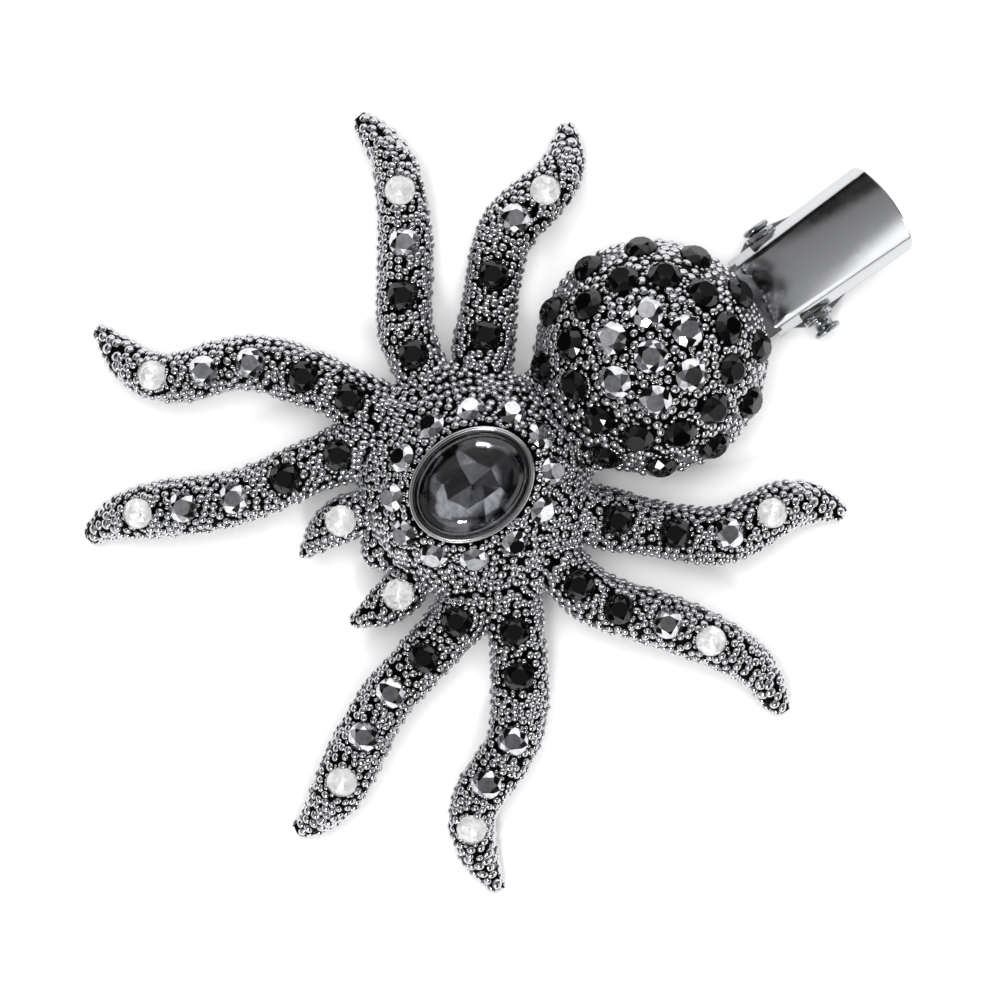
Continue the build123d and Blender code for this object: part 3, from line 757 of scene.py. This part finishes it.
def skinParts():
    # The upward faces of the casting, without its pockets, parted by place on the spider
    look = skinPlaces
    low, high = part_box("abdomen_stones")
    abdomenMiddle = Vector((0, (low.y + high.y) / 2, 0))
    abdomenReach = (high.x - low.x) / 2 + look["abdomenBeyond"]
    low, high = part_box("thorax_stones")
    thoraxWide = (high.x - low.x) / 2 + look["thoraxBeyond"][0]
    thoraxLong = (high.y - low.y) / 2 + look["thoraxBeyond"][1]
    welded = weldedCopy("spider_casting")
    faces = {"abdomen": [], "thorax": [], "tips": [], "legs": []}
    for face in welded.faces:
        at = face.calc_center_median()
        level = Vector((at.x, at.y, 0))
        if (level - abdomenMiddle).length < abdomenReach:
            part = "abdomen"
        elif (at.x / thoraxWide) ** 2 + (at.y / thoraxLong) ** 2 < 1:
            part = "thorax"
        elif at.z < look["tipsBelow"] and level.length > look["tipsFrom"]:
            part = "tips"
        else:
            part = "legs"
        if face.normal.z > granules[part]["steepest"]:
            faces[part].append(face)
    skins = {}
    for part, chosen in faces.items():
        index = {}  # from a corner's number in the casting to its number in the skin
        corners = []
        for corner in [corner for face in chosen for corner in face.verts]:
            if corner.index not in index:
                index[corner.index] = len(corners)
                corners.append(corner.co[:])
        data = bpy.data.meshes.new("skin_" + part)
        data.from_pydata(corners, [], [[index[corner.index] for corner in face.verts]
                                       for face in chosen])
        skins[part] = inScene("skin_" + part, data)
        print("skin", part, len(chosen), "triangles,",
              round(sum(face.calc_area() for face in chosen) / mm**2), "square mm")
    welded.free()
    return skins


def keepClear():
    # One object of every stone and the setting, that granules stay off
    mesh = bmesh.new()
    for name, node in cadNodes.items():
        if "stone" in name or name == "oval_setting":
            mesh.from_mesh(node.data)
    return inScene("clearOf", meshFrom(mesh, "clearOf"))


def legEnds():
    # The middle of one granule on the square-cut end of each leg, which rounds it off. The ends'
    # lower corners are the lowest points of the casting.
    node = cadNodes["spider_casting"]
    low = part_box("spider_casting")[0].z + skinPlaces["endHeight"]
    lowest = {corner.co[:] for corner in node.data.vertices if corner.co.z < low}
    waiting = [Vector(corner) for corner in sorted(lowest)]
    spots = []
    while waiting:
        first = waiting[0]
        end = [corner for corner in waiting if (corner - first).length < skinPlaces["endWidth"]]
        waiting = [corner for corner in waiting if corner not in end]
        other = max(end, key=lambda corner: (corner - first).length)
        spots.append((first + other) / 2 + Vector((0, 0, granules["endLift"] * mm)))
    data = bpy.data.meshes.new("legEnds")
    data.from_pydata([spot[:] for spot in spots], [], [])
    sizes = data.attributes.new("granuleRadius", "FLOAT", "POINT")
    sizes.data.foreach_set("value", [granules["endRadius"] * mm] * len(spots))
    print("leg ends:", len(spots))
    return inScene("legEnds", data)


def granulationTree():
    # Balls of varied size, packed side by side over a skin
    tree = bpy.data.node_groups.new("granulation", "GeometryNodeTree")
    face = tree.interface
    face.new_socket("Geometry", in_out="INPUT", socket_type="NodeSocketGeometry")
    named = {}
    for kind, names in {
            "Object": ("Granule", "Clear of", "Added points"),
            "Material": ("Finish",),
            "Float": ("Spacing", "Least radius", "Most radius", "Overlap", "Density", "Margin",
                      "Relax to", "Fill spacing", "Fill least", "Fill most", "Fill overlap"),
            "Vector": ("Least shape", "Low corner", "High corner"),
            "Int": ("Relax steps", "Seed")}.items():
        for name in names:
            named[name] = face.new_socket(name, in_out="INPUT", socket_type="NodeSocket" + kind)
    face.new_socket("Geometry", in_out="OUTPUT", socket_type="NodeSocketGeometry")
    given = addNode(tree, "NodeGroupInput").outputs
    skin = given["Geometry"]
    where = addNode(tree, "GeometryNodeInputPosition")

    # Two spreads of candidates, the granules' and that of the small ones for the gaps
    spread, fillSpread = [addNode(tree, "GeometryNodeDistributePointsOnFaces", {
        "Mesh": skin, "Distance Min": given[spacing], "Density Max": given["Density"],
        "Seed": given["Seed"]}, distribute_method="POISSON") for spacing in ("Spacing", "Fill spacing")]

    # Neighbours push each other apart, and stay on the skin
    loopIn = addNode(tree, "GeometryNodeRepeatInput", {"Iterations": given["Relax steps"]})
    loopOut = addNode(tree, "GeometryNodeRepeatOutput")
    loopIn.pair_with_output(loopOut)
    tree.links.new(spread.outputs["Points"], loopIn.inputs["Geometry"])
    points = loopIn.outputs["Geometry"]
    other = addNode(tree, "GeometryNodeSampleIndex", {
        "Geometry": points, "Value": where, "Index": addNode(tree, "GeometryNodeIndexOfNearest"),
    }, data_type="FLOAT_VECTOR")
    away = addNode(tree, "ShaderNodeVectorMath", [where, other], operation="SUBTRACT")
    gap = addNode(tree, "ShaderNodeVectorMath", [away], operation="LENGTH")
    want = addNode(tree, "ShaderNodeMath", [given["Spacing"], given["Relax to"]],
                   operation="MULTIPLY")
    short = addNode(tree, "ShaderNodeMath", [want, gap], operation="SUBTRACT")
    push = addNode(tree, "ShaderNodeMath", [short, 0.0], operation="MAXIMUM")
    half = addNode(tree, "ShaderNodeMath", [push, 0.5], operation="MULTIPLY")
    along = addNode(tree, "ShaderNodeVectorMath", [away], operation="NORMALIZE")
    shove = addNode(tree, "ShaderNodeVectorMath", [along, half], operation="SCALE")
    moved = addNode(tree, "GeometryNodeSetPosition", {"Geometry": points, "Offset": shove})
    snap = addNode(tree, "GeometryNodeProximity", [skin], target_element="FACES")
    snapped = addNode(tree, "GeometryNodeSetPosition", {
        "Geometry": moved, "Position": snap.outputs["Position"]})
    tree.links.new(snapped.outputs[0], loopOut.inputs["Geometry"])

    # Off the stones and the setting
    barred = addNode(tree, "GeometryNodeObjectInfo", [given["Clear of"]]).outputs["Geometry"]
    far = addNode(tree, "GeometryNodeProximity", [barred], target_element="FACES")
    tooNear = addNode(tree, "FunctionNodeCompare", [far.outputs["Distance"], given["Margin"]],
                      operation="LESS_THAN")
    kept = addNode(tree, "GeometryNodeDeleteGeometry", [loopOut.outputs["Geometry"], tooNear],
                   domain="POINT")

    # Each ball nearly touches its nearest neighbour
    otherKept = addNode(tree, "GeometryNodeSampleIndex", {
        "Geometry": kept, "Value": where, "Index": addNode(tree, "GeometryNodeIndexOfNearest"),
    }, data_type="FLOAT_VECTOR")
    gapKept = addNode(tree, "ShaderNodeVectorMath", [where, otherKept], operation="DISTANCE")
    grown = addNode(tree, "ShaderNodeMath", [gapKept, given["Overlap"]], operation="MULTIPLY")
    sized = addNode(tree, "GeometryNodeStoreNamedAttribute", {
        "Geometry": kept, "Name": "granuleRadius", "Value": addNode(tree, "ShaderNodeClamp", [
            grown, given["Least radius"], given["Most radius"]])}, data_type="FLOAT", domain="POINT")
    mine = addNode(tree, "GeometryNodeInputNamedAttribute", ["granuleRadius"], data_type="FLOAT")

    # Small balls in the gaps that are left, as wide as the gap lets them be
    bigFar = addNode(tree, "GeometryNodeProximity", [sized], target_element="POINTS")
    bigNear = addNode(tree, "GeometryNodeSampleNearest", [sized], domain="POINT")
    bigRadius = addNode(tree, "GeometryNodeSampleIndex", [sized, mine, bigNear], data_type="FLOAT")
    toBig = addNode(tree, "ShaderNodeMath", [bigFar.outputs["Distance"], bigRadius],
                    operation="SUBTRACT")
    gapWide = addNode(tree, "ShaderNodeMath", [toBig, far.outputs["Distance"]], operation="MINIMUM")
    tooTight = addNode(tree, "FunctionNodeCompare", [gapWide, given["Fill least"]],
                       operation="LESS_THAN")
    fillKept = addNode(tree, "GeometryNodeDeleteGeometry", [fillSpread, tooTight], domain="POINT")
    fillGrown = addNode(tree, "ShaderNodeMath", [gapWide, given["Fill overlap"]], operation="ADD")
    fillSized = addNode(tree, "GeometryNodeStoreNamedAttribute", {
        "Geometry": fillKept, "Name": "granuleRadius", "Value": addNode(tree, "ShaderNodeClamp", [
            fillGrown, given["Fill least"], given["Fill most"]])}, data_type="FLOAT", domain="POINT")
    ends = addNode(tree, "GeometryNodeObjectInfo", [given["Added points"]]).outputs["Geometry"]
    joined = addNode(tree, "GeometryNodeJoinGeometry")
    for part in (addNode(tree, "GeometryNodeMeshToPoints", [ends]), sized, fillSized):
        tree.links.new(part.outputs[0], joined.inputs[0])

    # Kept inside the solid model's box, so a ball at a leg's very end sinks in instead. A ball
    # needs less room where it faces the box's wall than where it stands along it.
    nearFacing = addNode(tree, "GeometryNodeSampleNearestSurface", {
        "Mesh": skin, "Value": addNode(tree, "GeometryNodeInputNormal"), "Sample Position": where,
    }, data_type="FLOAT_VECTOR")
    faced = addNode(tree, "GeometryNodeStoreNamedAttribute", {
        "Geometry": joined, "Name": "granuleFacing", "Value": nearFacing,
    }, data_type="FLOAT_VECTOR", domain="POINT")
    facing = addNode(tree, "GeometryNodeInputNamedAttribute", ["granuleFacing"],
                     data_type="FLOAT_VECTOR")
    edge = math.radians(granules["edgeLean"])
    ball, sunk = 1 / math.sin(edge), 1 / math.tan(edge)
    toward = addNode(tree, "ShaderNodeVectorMath", [facing], operation="ABSOLUTE")
    reach = addNode(tree, "ShaderNodeVectorMath", [toward, (-sunk,) * 3, (ball,) * 3],
                    operation="MULTIPLY_ADD")
    atMost = addNode(tree, "ShaderNodeVectorMath", [reach, (1.0,) * 3], operation="MINIMUM")
    room = addNode(tree, "ShaderNodeVectorMath", [atMost, mine], operation="SCALE")
    least = addNode(tree, "ShaderNodeVectorMath", [given["Low corner"], room], operation="ADD")
    most = addNode(tree, "ShaderNodeVectorMath", [given["High corner"], room], operation="SUBTRACT")
    raised = addNode(tree, "ShaderNodeVectorMath", [where, least], operation="MAXIMUM")
    held = addNode(tree, "ShaderNodeVectorMath", [raised, most], operation="MINIMUM")
    placed = addNode(tree, "GeometryNodeSetPosition", {"Geometry": faced, "Position": held})

    # No two alike: each turned its own way and a little narrower or flatter than a full ball
    upright = addNode(tree, "FunctionNodeAlignRotationToVector", {"Vector": facing}, axis="Z")
    turn = addNode(tree, "FunctionNodeRandomValue", {1: math.tau, "Seed": given["Seed"]},
                   data_type="FLOAT")
    spin = addNode(tree, "FunctionNodeEulerToRotation", [
        addNode(tree, "ShaderNodeCombineXYZ", {"Z": turn})])
    turned = addNode(tree, "FunctionNodeRotateRotation", [upright, spin], rotation_space="LOCAL")
    shape = addNode(tree, "FunctionNodeRandomValue", {
        0: given["Least shape"], 1: (1.0,) * 3, "Seed": given["Seed"]}, data_type="FLOAT_VECTOR")
    balls = addNode(tree, "GeometryNodeInstanceOnPoints", {
        "Points": placed, "Rotation": turned,
        "Instance": addNode(tree, "GeometryNodeObjectInfo", [given["Granule"]]).outputs["Geometry"],
        "Scale": addNode(tree, "ShaderNodeVectorMath", [shape, mine], operation="SCALE")})
    real = addNode(tree, "GeometryNodeRealizeInstances", [balls])
    done = addNode(tree, "GeometryNodeSetMaterial", {"Geometry": real, "Material": given["Finish"]})
    addNode(tree, "NodeGroupOutput", {"Geometry": done})
    return tree, named


def granulate():
    look = granules
    granule = granuleMesh()
    clearOf = keepClear()
    ends = legEnds()
    tree, named = granulationTree()
    skins = skinParts()
    for part, skin in skins.items():
        size = look[part]
        modifier = skin.modifiers.new("granulation", "NODES")
        modifier.node_group = tree
        values = {
            "Granule": granule, "Clear of": clearOf, "Finish": finishes["bead"],
            "Added points": ends if part == "tips" else None,
            "Spacing": size["spacing"] * mm, "Least radius": size["least"] * mm,
            "Most radius": size["most"] * mm, "Overlap": look["overlap"],
            "Density": look["density"] / mm**2, "Margin": look["stoneMargin"] * mm,
            "Fill spacing": look["fillSpacing"] * mm, "Fill least": look["fillLeast"] * mm,
            "Fill most": look["fillMost"] * mm, "Fill overlap": look["fillOverlap"] * mm,
            "Least shape": look["squash"], "Low corner": cadLow[:], "High corner": cadHigh[:],
            "Relax steps": look["relaxSteps"], "Relax to": look["relaxTo"], "Seed": size["seed"],
        }
        for name, value in values.items():
            modifier[named[name].identifier] = value
        piece = plainMeshOf(skin, "granulation_" + part)
        skin.modifiers.remove(modifier)
        bpy.data.objects.remove(skin)
        standFor(piece, "antique_casting")
        print("granulation", part, len(piece.data.polygons), "faces")
    for helper in (granule, clearOf, ends):
        bpy.data.objects.remove(helper)


granulate()


studio = {
    "floor": "#f6f6f6",
    "floorSize": 3.0,  # metres
    "paperGrain": 900.0,  # to the metre, coarser than real paper's so that it shows
    "paperDepth": 0.02 * mm, "paperStrength": 0.2,
    # Round the set, by compass: card and cloth panels, with dark gaps between them. It starts
    # at the left, goes by the head's side to the right, and back by the lever's side.
    "panels": [(0.00, "#0c0c0c"), (0.18, "#0c0c0c"), (0.20, "#7c7c7c"), (0.30, "#949494"),
               (0.34, "#ffffff"), (0.41, "#ffffff"), (0.43, "#2a2a2a"), (0.60, "#3a3a3a"),
               (0.62, "#8a8a8a"), (0.68, "#8a8a8a"), (0.70, "#202020"), (0.76, "#202020"),
               (0.78, "#f0f0f0"), (0.97, "#f0f0f0"), (0.99, "#0c0c0c"), (1.00, "#0c0c0c")],
    "lowPanels": [(0.00, "#0c0c0c"), (0.145, "#0c0c0c"), (0.16, "#9a9a9a"), (0.33, "#9a9a9a"),
                  (0.345, "#ffffff"), (0.41, "#ffffff"), (0.43, "#0e0e0e"), (0.52, "#0e0e0e"),
                  (0.54, "#f4f4f4"), (0.64, "#f4f4f4"), (0.66, "#0e0e0e"), (0.74, "#0e0e0e"),
                  (0.76, "#ffffff"), (0.96, "#ffffff"), (0.98, "#0c0c0c"), (1.00, "#0c0c0c")],
    "ceiling": [(0.0, "#a4a4a4"), (0.5, "#5e5e5e"), (1.0, "#303030")],  # left to right
    "ceilingReach": 0.6,  # how far sideways a direction points where the ceiling ends
    "gap": "#0e0e0e",
    # How far up a direction points where one zone gives way to the next
    "gapTo": (0.10, 0.15), "lowPanelsTo": (0.42, 0.50), "ceilingFrom": (0.64, 0.76),
    "strength": 1.7,
    # Each lamp's place, size, power and whether metal mirrors it
    "lamps": {
        "overheadCloth": ((-0.15, 0.10, 0.90), 0.90, 10.0, False),
        "sparkle": ((0.235, -0.19, 0.34), 0.06, 0.6, True),
    },
    "target": (0.0, 0.004, 0.006),  # what the lamps are aimed at
}


def hangTent():
    # The tent's zones, one above the other, each shaded by compass or from side to side
    look = studio
    world = bpy.data.worlds.new("tent")
    bpy.context.scene.world = world
    world.use_nodes = True
    tree = world.node_tree
    tree.nodes.clear()
    way = addNode(tree, "ShaderNodeSeparateXYZ", [
        addNode(tree, "ShaderNodeTexCoord").outputs["Generated"]]).outputs
    compass = addNode(tree, "ShaderNodeMath", [way["Y"], way["X"]], operation="ARCTAN2")
    bearing = addNode(tree, "ShaderNodeMapRange", [compass, -math.pi, math.pi, 0.0, 1.0])
    side = look["ceilingReach"]
    across = addNode(tree, "ShaderNodeMapRange", [way["X"], -side, side, 0.0, 1.0])
    glow = linear(look["gap"])
    for edge, along, stops in (("gapTo", bearing, "lowPanels"), ("lowPanelsTo", bearing, "panels"),
                               ("ceilingFrom", across, "ceiling")):
        above = addNode(tree, "ShaderNodeMapRange", [way["Z"], *look[edge], 0.0, 1.0])
        zone = addNode(tree, "ShaderNodeValToRGB", [along], look[stops])
        glow = addNode(tree, "ShaderNodeMix", [above, glow, zone], data_type="RGBA")
    shade = addNode(tree, "ShaderNodeBackground", [glow, look["strength"]])
    addNode(tree, "ShaderNodeOutputWorld", [shade])


def paperFloor():
    # Uncoated paper on a roll: matt, with a faint grain
    look = studio
    material = startMaterial("paleMattPaper")
    tree = material.node_tree
    grain = addNode(tree, "ShaderNodeTexNoise", {
        "Vector": addNode(tree, "ShaderNodeTexCoord").outputs["Object"],
        "Scale": look["paperGrain"], "Detail": 2.0})
    endMaterial(material, {
        "Base Color": linear(look["floor"]), "Roughness": 0.9, "Specular IOR Level": 0.2,
        "Normal": addNode(tree, "ShaderNodeBump", {
            "Height": grain, "Distance": look["paperDepth"], "Strength": look["paperStrength"]})})
    mesh = bmesh.new()
    bmesh.ops.create_grid(mesh, x_segments=1, y_segments=1, size=look["floorSize"] / 2)
    pieceFrom(mesh, "floor", material)


def placeLamps():
    target = Vector(studio["target"])
    for name, (at, size, power, mirrored) in studio["lamps"].items():
        data = bpy.data.lights.new(name, "AREA")
        data.shape = "SQUARE"
        data.size = size
        data.energy = power
        lamp = inScene(name, data)
        lamp.location = at
        lamp.visible_glossy = mirrored
        lamp.rotation_euler = (target - Vector(at)).to_track_quat("-Z", "Y").to_euler()


shot = {
    "elevation": 88.0,  # degrees, from the lever's side
    "turn": 35.5,  # degrees that the lever's line rises to the right in the picture
    "middle": (2.6 * mm, 1.1 * mm, 6.0 * mm),
    "width": 90.9 * mm,  # what the picture spans at that point
    "lens": 180.0,
    "sensor": 36.0,
    "clip": (0.01, 20.0),
}


def placeCamera():
    look = shot
    data = bpy.data.cameras.new("camera")
    data.lens = look["lens"]
    data.sensor_width = look["sensor"]
    data.clip_start, data.clip_end = look["clip"]
    camera = inScene("camera", data)
    tip = math.radians(90 - look["elevation"])
    turn = math.radians(look["turn"])
    back = Vector((0, math.sin(tip), math.cos(tip)))
    rearward = Vector((0, math.cos(tip), -math.sin(tip)))
    rightward = Vector((1, 0, 0))
    pictureX = rearward * math.cos(turn) + rightward * math.sin(turn)
    pictureY = rearward * math.sin(turn) - rightward * math.cos(turn)
    distance = look["width"] * look["lens"] / look["sensor"]
    pose = Matrix((pictureX, pictureY, back)).transposed().to_4x4()
    pose.translation = Vector(look["middle"]) + back * distance
    camera.matrix_world = pose
    bpy.context.scene.camera = camera


hangTent()
paperFloor()
placeLamps()
placeCamera()
bpy.context.scene.view_settings.view_transform = "Standard"
print("studio and camera set")
